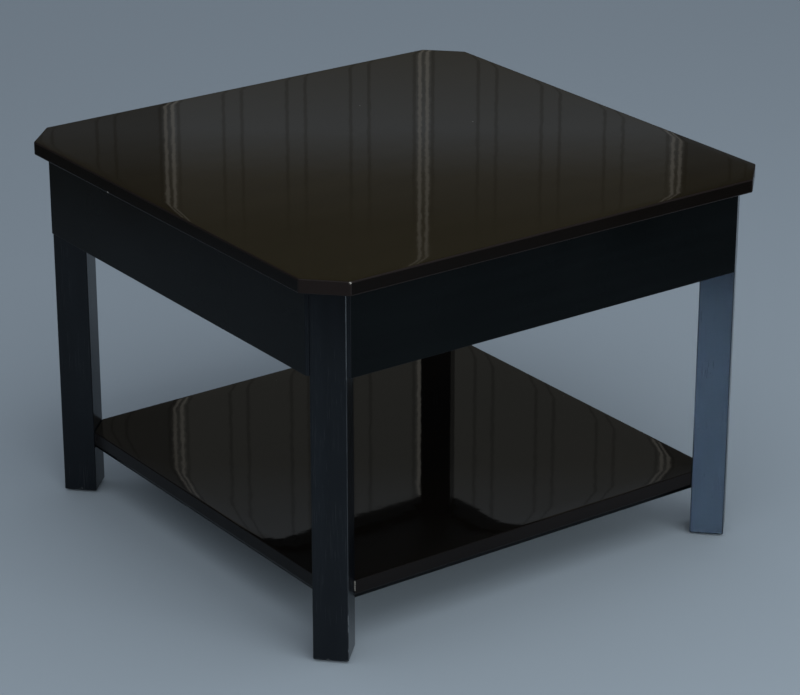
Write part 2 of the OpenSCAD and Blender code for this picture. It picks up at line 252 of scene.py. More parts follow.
# ---- Legs ---------------------------------------------------------------------------------------
# Four square hardwood posts set at 45 degrees, so that one face of each makes the clipped corner.
# They are sprayed satin blue-black, with the arrises just broken and the feet lightly chamfered.
leg_arris = 0.0009
foot_chamfer = 0.0022
corner_names = ("front_left", "front_right", "back_left", "back_right")


def grain_space(nodes, links, stretch):
    """Places on the piece, squeezed so that a pattern draws out along the grain."""
    where = nodes.new("ShaderNodeTexCoord")
    squeeze = nodes.new("ShaderNodeMapping")
    squeeze.inputs["Scale"].default_value = stretch
    links.new(where.outputs["Object"], squeeze.inputs["Vector"])
    return squeeze.outputs["Vector"]


def mottle(nodes, links, space, scale, detail=4.0, roughness=0.55):
    """Soft cloudy variation at one size, about 0.5 on average."""
    cloud = nodes.new("ShaderNodeTexNoise")
    cloud.inputs["Scale"].default_value = scale
    cloud.inputs["Detail"].default_value = detail
    cloud.inputs["Roughness"].default_value = roughness
    links.new(space, cloud.inputs["Vector"])
    return cloud.outputs["Fac"]


def two_tone(nodes, links, share, dark, light):
    """Mixes two colours by a pattern."""
    mix = nodes.new("ShaderNodeMix")
    mix.data_type = "RGBA"
    mix.inputs["A"].default_value = (*dark, 1)
    mix.inputs["B"].default_value = (*light, 1)
    links.new(share, mix.inputs["Factor"])
    return mix.outputs["Result"]


def relief(nodes, links, height, depth, under=None):
    """Bump of a real depth in metres, laid over another bump if there is one."""
    bump = nodes.new("ShaderNodeBump")
    bump.inputs["Strength"].default_value = 1.0
    bump.inputs["Distance"].default_value = depth
    links.new(height, bump.inputs["Height"])
    if under is not None:
        links.new(under, bump.inputs["Normal"])
    return bump.outputs["Normal"]


def times(nodes, links, first, second):
    """The product of two patterns."""
    return reckon(nodes, links, "MULTIPLY", first, second)


def laid_over(nodes, links, coat, colour, mask):
    """Shows a plain colour over a coat wherever the mask is 1."""
    over = nodes.new("ShaderNodeMix")
    over.data_type = "RGBA"
    over.inputs["B"].default_value = (*colour, 1)
    links.new(mask, over.inputs["Factor"])
    links.new(coat, over.inputs["A"])
    return over.outputs["Result"]


def satin_black(name, stretch, dark, light, gloss, shine, pale_spots=(), scuffed_below=None, scratched=False):
    """Sprayed satin black lacquer over close grain that runs along one axis."""
    finish, nodes, links, shader = start_finish(name)
    along = grain_space(nodes, links, stretch)
    even = grain_space(nodes, links, (1, 1, 1))
    streaks = mottle(nodes, links, along, 90, 5)
    clouds = mottle(nodes, links, even, 7, 3)
    tone = times(nodes, links, spread(nodes, links, streaks, 0.3, 0.7, 0.3, 1.0),
                 spread(nodes, links, clouds, 0.3, 0.7, 0.4, 1.0))
    coat = two_tone(nodes, links, tone, dark, light)
    if scuffed_below is not None:
        height = nodes.new("ShaderNodeSeparateXYZ")
        links.new(even, height.inputs["Vector"])
        ragged = mottle(nodes, links, even, 170, 5, 0.7)
        low_down = spread(
            nodes, links, height.outputs["Z"], scuffed_below, scuffed_below + 0.010, 0.10, -0.12)
        lifted = reckon(nodes, links, "ADD", ragged, low_down)
        scuffs = spread(nodes, links, lifted, 0.66, 0.72, 0.0, 1.0)
        coat = laid_over(nodes, links, coat, (0.09, 0.095, 0.10), scuffs)
    if scratched:
        fine = mottle(nodes, links, grain_space(nodes, links, (1, 1, 0.02)), 1100, 3, 0.6)
        patches = spread(nodes, links, mottle(nodes, links, even, 14, 3), 0.46, 0.62, 0.0, 0.75)
        scratches = times(nodes, links, spread(nodes, links, fine, 0.56, 0.68, 0.0, 1.0), patches)
        coat = laid_over(nodes, links, coat, (0.015, 0.017, 0.020), scratches)
    if pale_spots:
        coat = laid_over(nodes, links, coat, (0.24, 0.25, 0.25), near_places(nodes, links, pale_spots))
    links.new(coat, shader.inputs["Base Color"])
    links.new(spread(nodes, links, clouds, 0.3, 0.7, gloss - 0.05, gloss + 0.06), shader.inputs["Roughness"])
    grain = relief(nodes, links, streaks, 0.00004)
    peel = relief(nodes, links, mottle(nodes, links, even, 420, 2), 0.000012, grain)
    links.new(peel, shader.inputs["Normal"])
    shader.inputs["Specular IOR Level"].default_value = shine
    return finish


def start_board(name, low, high, turn=0.0):
    """A plain squared board between two corners, ready to be worked."""
    bpy.ops.object.select_all(action="DESELECT")
    bpy.ops.mesh.primitive_cube_add(
        size=1, location=(low + high) / 2, rotation=(0, 0, turn), scale=high - low)
    board = bpy.context.object
    board.name = name
    board.data.name = name
    bpy.ops.object.transform_apply(location=True, rotation=True, scale=True)
    return board


def pick_edges(board, wanted):
    """In edit mode, selects the edges whose ends a and b pass the test."""
    bpy.ops.mesh.select_mode(type="EDGE")
    bpy.ops.mesh.select_all(action="DESELECT")
    cage = bmesh.from_edit_mesh(board.data)
    for edge in cage.edges:
        edge.select_set(wanted(edge.verts[0].co, edge.verts[1].co))
    bmesh.update_edit_mesh(board.data)


def break_arrises(piece, width, steps, arris_slot=-1):
    """Rounds every sharp edge a little and shades the flats flat, as sanding and lacquer leave them."""
    bpy.ops.object.select_all(action="DESELECT")
    piece.select_set(True)
    bpy.context.view_layer.objects.active = piece
    bpy.ops.object.shade_smooth()
    bpy.ops.object.modifier_add(type="BEVEL")
    rounding = piece.modifiers[-1]
    rounding.width = width
    rounding.segments = steps
    rounding.limit_method = "ANGLE"
    rounding.angle_limit = math.radians(30)
    rounding.material = arris_slot
    bpy.ops.object.modifier_apply(modifier=rounding.name)
    bpy.ops.object.modifier_add(type="WEIGHTED_NORMAL")
    bpy.ops.object.modifier_apply(modifier=piece.modifiers[-1].name)


def dress(piece, finishes, slot, body, *nodes):
    """Gives a piece its finishes and its body, in place of the CAD nodes; its record slot is not used."""
    for finish in finishes:
        piece.data.materials.append(finish)
    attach(piece, body)
    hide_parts(*nodes)


def near_places(nodes, links, places):
    """A mask that is 1 within each place's reach, with a ragged outline like a chip's; it marks chips and
    painted highlight spots.
    """
    where = nodes.new("ShaderNodeTexCoord")
    ragged = spread(nodes, links, mottle(nodes, links, where.outputs["Object"], 900, 3), 0.3, 0.7, 0.5, 1.3)
    mask = None
    for place, reach in places:
        away_from = nodes.new("ShaderNodeVectorMath")
        away_from.operation = "DISTANCE"
        away_from.inputs[1].default_value = place
        links.new(where.outputs["Object"], away_from.inputs[0])
        inside = reckon(nodes, links, "LESS_THAN",
                        reckon(nodes, links, "DIVIDE", away_from.outputs["Value"], reach), ragged)
        mask = inside if mask is None else reckon(nodes, links, "MAXIMUM", mask, inside)
    return mask


def worn_arris(name, dark, bare, amount, band=None, pale_spots=()):
    """Black lacquer on an arris, rubbed paler here and there.

    A band is the highest y that is rubbed all along, and the z above which it is rubbed hard.
    """
    finish, nodes, links, shader = start_finish(name)
    even = grain_space(nodes, links, (1, 1, 1))
    rubs = mottle(nodes, links, even, 38, 6, 0.7)
    share = spread(nodes, links, rubs, 0.62 - amount, 0.80 - amount, 0.0, 1.0)
    if band is not None:
        split = nodes.new("ShaderNodeSeparateXYZ")
        links.new(even, split.inputs["Vector"])
        rubbed = times(nodes, links, reckon(nodes, links, "LESS_THAN", split.outputs["Y"], band[0]),
                       spread(nodes, links, split.outputs["Z"], band[1] - 0.004, band[1], 0.30, 1.0))
        strong = spread(nodes, links, rubs, 0.30, 0.60, 0.45, 1.0)
        share = reckon(nodes, links, "MAXIMUM", share, times(nodes, links, rubbed, strong))
    if pale_spots:
        share = reckon(nodes, links, "MAXIMUM", share, near_places(nodes, links, pale_spots))
    links.new(two_tone(nodes, links, share, dark, bare), shader.inputs["Base Color"])
    links.new(spread(nodes, links, rubs, 0.3, 0.7, 0.30, 0.40), shader.inputs["Roughness"])
    shader.inputs["Specular IOR Level"].default_value = 0.2
    return finish


leg_finish = satin_black(
    "satin_black_post", (1, 1, 0.03), (0.0010, 0.0019, 0.0034), (0.0042, 0.0060, 0.0088),
    gloss=0.19, shine=0.30, scuffed_below=0.004, scratched=True)
leg_edge = worn_arris("satin_black_arris", (0.003, 0.004, 0.006), (0.045, 0.05, 0.055), -0.02)
box_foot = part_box("apron_front")[0].z
near_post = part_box("leg_front_left")[0]
near_arris_x = (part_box("leg_front_left")[0].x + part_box("leg_front_left")[1].x) / 2
knock_reach = 0.0022
knocks = [((near_arris_x, near_post.y, height), knock_reach)
          for height in (0.018, 0.045, 0.048, 0.055, 0.058, 0.061, 0.064)]
rubbed_edge = worn_arris("rubbed_black_arris", (0.003, 0.004, 0.006), (0.085, 0.095, 0.105), -0.02,
                         (near_post.y + 0.004, box_foot), knocks)
for corner in corner_names:
    leg_low, leg_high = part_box("leg_" + corner)
    leg_centre = (leg_low + leg_high) / 2
    leg_half = Vector((leg_high.x - leg_low.x, leg_high.x - leg_low.x, 0)) / (2 * math.sqrt(2))
    leg_half.z = (leg_high.z - leg_low.z) / 2
    leg = start_board("post_" + corner, leg_centre - leg_half, leg_centre + leg_half, math.pi / 4)
    bpy.ops.object.mode_set(mode="EDIT")
    pick_edges(leg, lambda a, b: max(a.z, b.z) < leg_low.z + 0.001)
    bpy.ops.mesh.bevel(offset=foot_chamfer, segments=2, affect="EDGES")
    bpy.ops.object.mode_set(mode="OBJECT")
    arris_finish = rubbed_edge if corner == "front_left" else leg_edge
    dress(leg, (leg_finish, arris_finish), "leg_lacquer", "root", "leg_" + corner)
    break_arrises(leg, leg_arris, 3, 1)
    if corner == "front_right":
        right_post.objects.link(leg)

# ---- Apron boards -------------------------------------------------------------------------------
# Four deep boards make the box under the top. Their ends are sawn to 45 degrees round the posts and
# show a narrow bevelled strip beside each post's face. They are sprayed the same satin black.
apron_arris = 0.0005
apron_sides = (("front", 0), ("right", 90), ("back", 180), ("left", 270))


def saw(board, through, outward):
    """In edit mode, cuts a board along a plane, throws the outward side away and closes the cut."""
    bpy.ops.mesh.select_all(action="SELECT")
    bpy.ops.mesh.bisect(plane_co=through, plane_no=outward, use_fill=True, clear_outer=True)


front_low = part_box("apron_front")[0]
apron_chip_reach = 0.0020
apron_chips = (((front_low.x, front_low.y, front_low.z), apron_chip_reach),)
apron_dark = (0.0008, 0.0014, 0.0017)
apron_light = (0.0022, 0.0034, 0.0040)
front_board_finish = satin_black(
    "satin_black_board", (0.03, 1, 1), apron_dark, apron_light, gloss=0.27, shine=0.085, pale_spots=apron_chips)
side_board_finish = satin_black(
    "satin_black_side_board", (1, 0.03, 1), apron_dark, apron_light, gloss=0.27, shine=0.105)


def paint_faces(piece, slot_number, wanted):
    """Gives the faces whose normals pass the test another of the piece's finishes."""
    for face in piece.data.polygons:
        if wanted(face.normal):
            face.material_index = slot_number


for side, turn in apron_sides:
    node = "apron_" + side
    apron_low_corner, apron_high_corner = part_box(node)
    box_half = max(
        abs(apron_low_corner.x), abs(apron_low_corner.y), apron_high_corner.x, apron_high_corner.y)
    reach_out = Vector((math.cos(math.radians(turn)), math.sin(math.radians(turn)), 0))
    outward = Vector((reach_out.y, -reach_out.x, 0))
    long_low = Vector(apron_low_corner)
    long_high = Vector(apron_high_corner)
    for axis in (0, 1):
        if abs(reach_out[axis]) > 0.5:
            long_low[axis] = -box_half
            long_high[axis] = box_half
    apron = start_board("board_" + side, long_low, long_high)
    leg_low, leg_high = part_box("leg_front_right")
    post_half = (leg_high.x - leg_low.x) / 2
    post_centre = (leg_high.x + leg_low.x) / 2
    post_face = (post_centre * math.sqrt(2)) + post_half / math.sqrt(2)
    bpy.ops.object.mode_set(mode="EDIT")
    for end in (-1, 1):
        corner_way = (reach_out * end + outward).normalized()
        post_way = (reach_out * end - outward).normalized()
        saw(apron, corner_way * post_face, corner_way)
        saw(apron, post_way * (post_half / math.sqrt(2)) * -1, post_way)
    bpy.ops.object.mode_set(mode="OBJECT")
    board_finish = front_board_finish if abs(reach_out.x) > 0.5 else side_board_finish
    dress(apron, (board_finish, leg_edge, leg_finish), "apron_lacquer", "root", node)
    paint_faces(apron, 2, lambda normal: abs(abs(normal.x) - abs(normal.y)) < 0.1 and abs(normal.z) < 0.1)
    break_arrises(apron, apron_arris, 3, 1)

# ---- Corner blocks, hanger bolts and nuts -------------------------------------------------------
# A beech block bridges each corner of the box behind its post. A zinc-plated hanger bolt in the post
# passes through it and draws the post home with a washer and nut; four screws hold the block.
beech_arris = 0.0009
hardware_arris = 0.0004


def bench_copy(node, name, finishes, slot, body, arris, steps=2, arris_slot=-1):
    """Takes a piece's shape over from its CAD node, as one joined skin with its edges eased."""
    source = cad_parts[node]
    piece = source.copy()
    piece.data = source.data.copy()
    piece.name = name
    piece.data.name = name
    bpy.context.collection.objects.link(piece)
    piece.hide_render = False
    piece.data.materials.clear()
    bpy.ops.object.select_all(action="DESELECT")
    piece.select_set(True)
    bpy.context.view_layer.objects.active = piece
    bpy.ops.object.mode_set(mode="EDIT")
    bpy.ops.mesh.select_all(action="SELECT")
    bpy.ops.mesh.remove_doubles(threshold=0.00001)
    bpy.ops.mesh.dissolve_limited(angle_limit=math.radians(0.5))
    bpy.ops.object.mode_set(mode="OBJECT")
    dress(piece, finishes, slot, body, node)
    break_arrises(piece, arris, steps, arris_slot)
    return piece


def planed_beech(name, stretch):
    """Pale steamed beech, planed and left bare, with its short dark flecks along the grain."""
    finish, nodes, links, shader = start_finish(name)
    along = grain_space(nodes, links, stretch)
    rings = mottle(nodes, links, along, 60, 6, 0.6)
    flecks = nodes.new("ShaderNodeTexVoronoi")
    flecks.inputs["Scale"].default_value = 520
    links.new(along, flecks.inputs["Vector"])
    board = two_tone(nodes, links, spread(nodes, links, rings, 0.3, 0.7, 0.0, 1.0),
                     (0.36, 0.21, 0.11), (0.52, 0.34, 0.20))
    fleck = spread(nodes, links, flecks.outputs["Distance"], 0.10, 0.28, 0.35, 0.0)
    flecked = laid_over(nodes, links, board, (0.20, 0.11, 0.055), fleck)
    links.new(flecked, shader.inputs["Base Color"])
    links.new(spread(nodes, links, rings, 0.3, 0.7, 0.48, 0.62), shader.inputs["Roughness"])
    links.new(relief(nodes, links, rings, 0.00008), shader.inputs["Normal"])
    return finish


def bright_metal(name, dark, light, rough_low, rough_high, stretch, scale, depth):
    """Bare or plated metal: cloudy plating and fine marks drawn out one way."""
    finish, nodes, links, shader = start_finish(name)
    along = grain_space(nodes, links, stretch)
    even = grain_space(nodes, links, (1, 1, 1))
    marks = mottle(nodes, links, along, scale, 5, 0.6)
    clouds = mottle(nodes, links, even, 95, 4)
    links.new(two_tone(nodes, links, spread(nodes, links, clouds, 0.3, 0.7, 0.0, 1.0), dark, light),
              shader.inputs["Base Color"])
    links.new(spread(nodes, links, marks, 0.3, 0.7, rough_low, rough_high), shader.inputs["Roughness"])
    links.new(relief(nodes, links, marks, depth), shader.inputs["Normal"])
    shader.inputs["Metallic"].default_value = 1.0
    return finish


def head_places(screws, box_middle):
    """For each separate screw, the middle of its head's face and the way it is driven."""
    cage = bmesh.new()
    cage.from_mesh(screws.data)
    unseen = set(cage.verts)
    heads = []
    while unseen:
        edge_of_search = [unseen.pop()]
        one_screw = []
        while edge_of_search:
            vertex = edge_of_search.pop()
            one_screw.append(vertex.co.copy())
            for edge in vertex.link_edges:
                neighbour = edge.other_vert(vertex)
                if neighbour in unseen:
                    unseen.remove(neighbour)
                    edge_of_search.append(neighbour)
        low = Vector([min(point[axis] for point in one_screw) for axis in range(3)])
        high = Vector([max(point[axis] for point in one_screw) for axis in range(3)])
        length = high - low
        along = max(range(3), key=lambda axis: length[axis])
        drive = Vector((0, 0, 0))
        drive[along] = 1 if abs(low[along] - box_middle[along]) < abs(high[along] - box_middle[along]) else -1
        face = (low + high) / 2 - drive * length[along] / 2
        heads.append((face, drive))
    cage.free()
    return heads


def cut_cross_recesses(screws, half_span, half_slot, deep):
    """Sinks a cross recess into every screw head, as the driver finds it."""
    box_middle = Vector((0, 0, 0.30))
    bpy.ops.object.select_all(action="DESELECT")
    blades = []
    for face, drive in head_places(screws, box_middle):
        turn = drive.to_track_quat("Z", "X").to_euler()
        for quarter in (0, 1):
            bpy.ops.mesh.primitive_cube_add(size=1, location=face, rotation=turn)
            blade = bpy.context.object
            blade.scale = (half_span * 2, half_slot * 2, deep * 2) if quarter else (
                half_slot * 2, half_span * 2, deep * 2)
            blades.append(blade)
    for blade in blades:
        blade.select_set(True)
    bpy.context.view_layer.objects.active = blades[0]
    bpy.ops.object.transform_apply(location=True, rotation=True, scale=True)
    bpy.ops.object.join()
    cutter = bpy.context.object
    bpy.ops.object.select_all(action="DESELECT")
    screws.select_set(True)
    bpy.context.view_layer.objects.active = screws
    bpy.ops.object.modifier_add(type="BOOLEAN")
    sink = screws.modifiers[-1]
    sink.operation = "DIFFERENCE"
    sink.solver = "EXACT"
    sink.use_self = True
    sink.object = cutter
    bpy.ops.object.modifier_apply(modifier=sink.name)
    bpy.data.objects.remove(cutter, do_unlink=True)
    bpy.ops.object.modifier_add(type="WEIGHTED_NORMAL")
    bpy.ops.object.modifier_apply(modifier=screws.modifiers[-1].name)


beech = planed_beech("planed_beech", (1, 1, 0.06))
screw_steel = bright_metal(
    "bright_zinc_screw", (0.50, 0.51, 0.52), (0.72, 0.73, 0.74),
    rough_low=0.22, rough_high=0.36, stretch=(1, 1, 1), scale=700, depth=0.00002)
for corner in corner_names:
    bench_copy("corner_block_" + corner, "block_" + corner, (beech,), "beech", "root", beech_arris)
block_screws = bench_copy(
    "corner_block_screws", "block_screws", (screw_steel,), "screw_steel", "root", hardware_arris)
cut_cross_recesses(block_screws, half_span=0.0022, half_slot=0.0005, deep=0.0011)
bench_copy("hanger_bolts", "bolts", (screw_steel,), "screw_steel", "root", arris=0.0006)
bench_copy("hanger_nuts", "nuts_and_washers", (screw_steel,), "screw_steel", "root", hardware_arris)

# ---- Cleats and storage floor -------------------------------------------------------------------
# Four cleats are glued along the lower edges of the aprons and sprayed black with them. A dark
# stained board lies loose on them, its corners cut off to clear the posts, and floors the box.
for side, finish in (
    ("front", front_board_finish),
    ("right", side_board_finish),
    ("back", front_board_finish),
    ("left", side_board_finish),
):
    bench_copy("cleat_" + side, "cleat_strip_" + side, (finish,), "apron_lacquer", "root", beech_arris)

stained_board, nodes, links, shader = start_finish("stained_floor_board")
along = grain_space(nodes, links, (0.04, 1, 1))
figure = mottle(nodes, links, along, 55, 7, 0.62)
links.new(two_tone(nodes, links, spread(nodes, links, figure, 0.32, 0.68, 0.0, 1.0),
                   (0.010, 0.0065, 0.0045), (0.034, 0.022, 0.015)), shader.inputs["Base Color"])
links.new(spread(nodes, links, figure, 0.3, 0.7, 0.42, 0.58), shader.inputs["Roughness"])
links.new(relief(nodes, links, figure, 0.00009), shader.inputs["Normal"])
bench_copy("box_floor", "storage_floor", (stained_board,), "floor_board", "root", arris=0.0008)

# ---- Shelf --------------------------------------------------------------------------------------
# One board, sprayed gloss espresso and flatted to a mirror, with its clipped corners doweled to the
# inner faces of the posts. The lower edge of each side is chamfered and given the same near-black,
# nearly shineless finish as the underside, so that a dark band runs under the lighter edge. The
# lower edge of each side is chamfered and sprayed black with the underside, so that the board looks
# thinner than it is.
shelf_arris = 0.0012
shelf_rim = 0.026
shelf_drop = 0.00030
shelf_rings = 7


def gloss_espresso(name, wave_depth, brown, deep, gloss=(0.025, 0.05), shine=0.5, pale_spots=(), dusty=False):
    """Mirror-gloss espresso lacquer with slow waves and a trace of orange peel in its surface."""
    finish, nodes, links, shader = start_finish(name)
    along = grain_space(nodes, links, (0.05, 1, 1))
    even = grain_space(nodes, links, (1, 1, 1))
    figure = mottle(nodes, links, along, 26, 5)
    clouds = mottle(nodes, links, even, 3.2, 3)
    tone = times(nodes, links, spread(nodes, links, figure, 0.3, 0.7, 0.45, 1.0),
                 spread(nodes, links, clouds, 0.3, 0.7, 0.5, 1.0))
    coat = two_tone(nodes, links, tone, deep, brown)
    if dusty:
        specks = nodes.new("ShaderNodeTexVoronoi")
        specks.inputs["Scale"].default_value = 24
        links.new(even, specks.inputs["Vector"])
        chance = nodes.new("ShaderNodeSeparateXYZ")
        links.new(specks.outputs["Color"], chance.inputs["Vector"])
        speck = times(nodes, links, reckon(nodes, links, "GREATER_THAN", chance.outputs["X"], 0.90),
                      reckon(nodes, links, "LESS_THAN", specks.outputs["Distance"], 0.020))
        coat = laid_over(nodes, links, coat, (0.25, 0.25, 0.23), speck)
    # Pale spots: chips on the top, and a painted highlight down the shelf's near clipped corner
    if pale_spots:
        coat = laid_over(nodes, links, coat, (0.30, 0.28, 0.25), near_places(nodes, links, pale_spots))
    links.new(coat, shader.inputs["Base Color"])
    haze = mottle(nodes, links, even, 11, 5, 0.6)
    links.new(spread(nodes, links, haze, 0.3, 0.8, *gloss), shader.inputs["Roughness"])
    waves = relief(nodes, links, mottle(nodes, links, even, 32, 2), wave_depth)
    peel = relief(nodes, links, mottle(nodes, links, even, 210, 2), wave_depth * 0.08, waves)
    links.new(peel, shader.inputs["Normal"])
    shader.inputs["Specular IOR Level"].default_value = shine
    return finish


def clip_corners(board, clip):
    """Saws the four corners off a square board by bevelling its upright edges."""
    bpy.ops.object.mode_set(mode="EDIT")
    pick_edges(board, lambda a, b: abs(a.z - b.z) > 0.001)
    bpy.ops.mesh.bevel(offset=clip, segments=1, affect="EDGES")
    bpy.ops.object.mode_set(mode="OBJECT")


def corner_clip(node):
    """How much the CAD board's corners are cut back along each side."""
    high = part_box(node)[1]
    back_edge = [v.co.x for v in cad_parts[node].data.vertices if v.co.y > high.y - 0.0001]
    return high.x - max(back_edge)


def crown(board, rim, drop, rings):
    """Lets a board's upper face fall away towards its rim in ever steeper rings."""
    bpy.ops.object.mode_set(mode="EDIT")
    bpy.ops.mesh.select_mode(type="FACE")
    bpy.ops.mesh.select_all(action="DESELECT")
    cage = bmesh.from_edit_mesh(board.data)
    for face in cage.faces:
        face.select_set(face.normal.z > 0.9)
    bmesh.update_edit_mesh(board.data)
    for ring in range(rings):
        fall_before = drop * (1 - ring / rings) ** 2
        fall_after = drop * (1 - (ring + 1) / rings) ** 2
        bpy.ops.mesh.inset(thickness=rim / rings, depth=fall_before - fall_after)
    bpy.ops.object.mode_set(mode="OBJECT")


def underside_chamfer(node):
    """How high and how deep the chamfer is that the CAD board has under its sides."""
    low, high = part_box(node)
    places = [v.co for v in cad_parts[node].data.vertices]
    widest = [place.z for place in places if place.x > high.x - 0.0001]
    lowest = [place.x for place in places if place.z < low.z + 0.0001]
    return min(widest) - low.z, high.x - max(lowest)


shelf_finish = gloss_espresso(
    "gloss_espresso_shelf", 0.00005, (0.0072, 0.0056, 0.0042), (0.0030, 0.0026, 0.0022), dusty=True)
shelf_low, shelf_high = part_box("shelf")
near_corner = Vector((shelf_low.x + corner_clip("shelf"), shelf_low.y, shelf_high.z))
# Painted highlight: a row of pale spots down the arris at the shelf's near clipped corner, where it catches
# the light
corner_highlight_reach = 0.0011
shelf_corner_highlight = [((near_corner.x, near_corner.y, near_corner.z - down), corner_highlight_reach)
                 for down in (0.002, 0.004, 0.006, 0.009, 0.011, 0.013)]
shelf_edge = gloss_espresso(
    "gloss_espresso_shelf_edge", 0.00003, (0.0095, 0.0078, 0.0074), (0.0034, 0.0029, 0.0028),
    gloss=(0.2, 0.3), shine=0.10, pale_spots=shelf_corner_highlight)
shelf_under = satin_black(
    "satin_black_underside", (0.03, 1, 1), (0.0004, 0.0006, 0.0008), (0.0010, 0.0014, 0.0018),
    gloss=0.30, shine=0.02)
shelf = start_board("lower_shelf", shelf_low, shelf_high - Vector((0, 0, shelf_drop)))
clip_corners(shelf, corner_clip("shelf"))
crown(shelf, shelf_rim, shelf_drop, shelf_rings)
chamfer_high, chamfer_deep = underside_chamfer("shelf")
bpy.ops.object.mode_set(mode="EDIT")
for turn in (0, 90, 180, 270):
    outward = Vector((math.cos(math.radians(turn)), math.sin(math.radians(turn)), 0))
    upper_line = outward * shelf_high.x + Vector((0, 0, shelf_low.z + chamfer_high))
    slope = (outward * chamfer_high - Vector((0, 0, chamfer_deep))).normalized()
    saw(shelf, upper_line, slope)
bpy.ops.object.mode_set(mode="OBJECT")
dress(shelf, (shelf_finish, shelf_edge, shelf_under), "shelf_lacquer", "root", "shelf")
paint_faces(shelf, 1, lambda normal: abs(normal.z) < 0.5)
paint_faces(shelf, 2, lambda normal: normal.z < -0.3)
break_arrises(shelf, shelf_arris, 3, 1)

# Two beech dowels at each post, glued half into the shelf's clipped corner and half into the post
bench_copy("shelf_dowels", "dowels", (beech,), "beech", "root", arris=0.0008)

# ---- Foot glides --------------------------------------------------------------------------------
# A round glide under each post keeps the lacquered foot off the floor. It is moulded in hard
# grey-brown plastic, nailed on, and worn dull by the floor.
def plain_moulding(name, dark, light, rough_low, rough_high, depth):
    """A moulded plastic or rubber with a faintly uneven colour and a fine matt skin."""
    finish, nodes, links, shader = start_finish(name)
    even = grain_space(nodes, links, (1, 1, 1))
    clouds = mottle(nodes, links, even, 130, 4)
    skin = mottle(nodes, links, even, 2400, 2)
    links.new(two_tone(nodes, links, spread(nodes, links, clouds, 0.3, 0.7, 0.0, 1.0), dark, light),
              shader.inputs["Base Color"])
    links.new(spread(nodes, links, clouds, 0.3, 0.7, rough_low, rough_high), shader.inputs["Roughness"])
    links.new(relief(nodes, links, skin, depth), shader.inputs["Normal"])
    return finish


glide_plastic = plain_moulding(
    "glide_plastic", (0.030, 0.027, 0.024), (0.050, 0.046, 0.041),
    rough_low=0.5, rough_high=0.7, depth=0.00002)
bench_copy("foot_glides", "glides", (glide_plastic,), "glide_plastic", "root", arris=0.0007)

# ---- Base brackets, pivots, springs and stops ---------------------------------------------------
# A pressed and zinc-plated steel bracket is screwed inside each side apron. It carries two riveted
# pivots, a torsion spring on the rear one, and a rubber roller that stops the raised front arm.
zinc_plate = bright_metal(
    "zinc_plate", (0.46, 0.49, 0.50), (0.66, 0.68, 0.66),
    rough_low=0.26, rough_high=0.42, stretch=(1, 1, 1), scale=260, depth=0.00002)
pin_steel = bright_metal(
    "turned_pin", (0.34, 0.34, 0.35), (0.50, 0.50, 0.50),
    rough_low=0.24, rough_high=0.40, stretch=(6, 1, 1), scale=300, depth=0.00002)
spring_steel = bright_metal(
    "oiled_spring", (0.07, 0.07, 0.075), (0.15, 0.15, 0.155),
    rough_low=0.28, rough_high=0.42, stretch=(1, 1, 1), scale=500, depth=0.00001)
stop_rubber = plain_moulding(
    "stop_rubber", (0.010, 0.010, 0.011), (0.019, 0.019, 0.020),
    rough_low=0.62, rough_high=0.80, depth=0.00003)
sides = ("left", "right")

for side in sides:
    bench_copy(
        "base_bracket_" + side, "base_plate_" + side, (zinc_plate,), "zinc_plate", "root", hardware_arris)
base_screws = bench_copy(
    "base_bracket_screws", "base_plate_screws", (screw_steel,), "screw_steel", "root", arris=0.0003)
cut_cross_recesses(base_screws, half_span=0.0022, half_slot=0.0005, deep=0.0007)
bench_copy("base_pivot_pins", "base_pins", (pin_steel,), "pin_steel", "root", hardware_arris)
bench_copy("stop_buffers", "stop_rollers", (stop_rubber,), "rubber", "root", arris=0.0008)

# Each spring is wound from 2.4 mm wire: six close turns, and a straight tail at either end
spring_turns = 6
wire_radius = 0.0012
tail_length = 0.020
for side in sides:
    node = "torsion_spring_" + side
    coil_low, coil_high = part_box(node)
    coil_middle = (coil_low + coil_high) / 2
    coil_radius = (coil_high.z - coil_low.z) / 2 - wire_radius
    coil_run = coil_high.x - coil_low.x - 2 * wire_radius
    bpy.ops.object.select_all(action="DESELECT")
    bpy.ops.mesh.primitive_circle_add(
        vertices=16, radius=wire_radius, rotation=(math.pi / 2, 0, 0),
        location=(-coil_run / 2, 0, coil_radius))
    spring = bpy.context.object
    spring.name = "spring_" + side
    spring.data.name = spring.name
    bpy.ops.object.transform_apply(location=True, rotation=True, scale=True)
    bpy.ops.object.modifier_add(type="SCREW")
    winding = spring.modifiers[-1]
    winding.axis = "X"
    winding.steps = 40
    winding.render_steps = 40
    winding.iterations = spring_turns
    winding.screw_offset = coil_run / spring_turns
    winding.use_merge_vertices = True
    winding.merge_threshold = 0.000001
    bpy.ops.object.modifier_apply(modifier=winding.name)
    bpy.ops.object.mode_set(mode="EDIT")
    for end in (-1, 1):
        bpy.ops.mesh.select_mode(type="VERT")
        bpy.ops.mesh.select_all(action="DESELECT")
        bpy.ops.mesh.select_non_manifold()
        cage = bmesh.from_edit_mesh(spring.data)
        for vertex in cage.verts:
            if vertex.select and vertex.co.x * end < 0:
                vertex.select_set(False)
        cage.select_flush(False)
        bmesh.update_edit_mesh(spring.data)
        bpy.ops.mesh.extrude_region_move(TRANSFORM_OT_translate={"value": (0, -end * tail_length, 0)})
    bpy.ops.mesh.select_all(action="SELECT")
    bpy.ops.mesh.fill_holes(sides=0)
    bpy.ops.mesh.normals_make_consistent(inside=False)
    bpy.ops.object.mode_set(mode="OBJECT")
    spring.location = coil_middle
    bpy.ops.object.transform_apply(location=True, rotation=True, scale=True)
    bpy.ops.object.shade_smooth_by_angle(angle=math.radians(50))
    dress(spring, (spring_steel,), "spring_steel", "root", node)

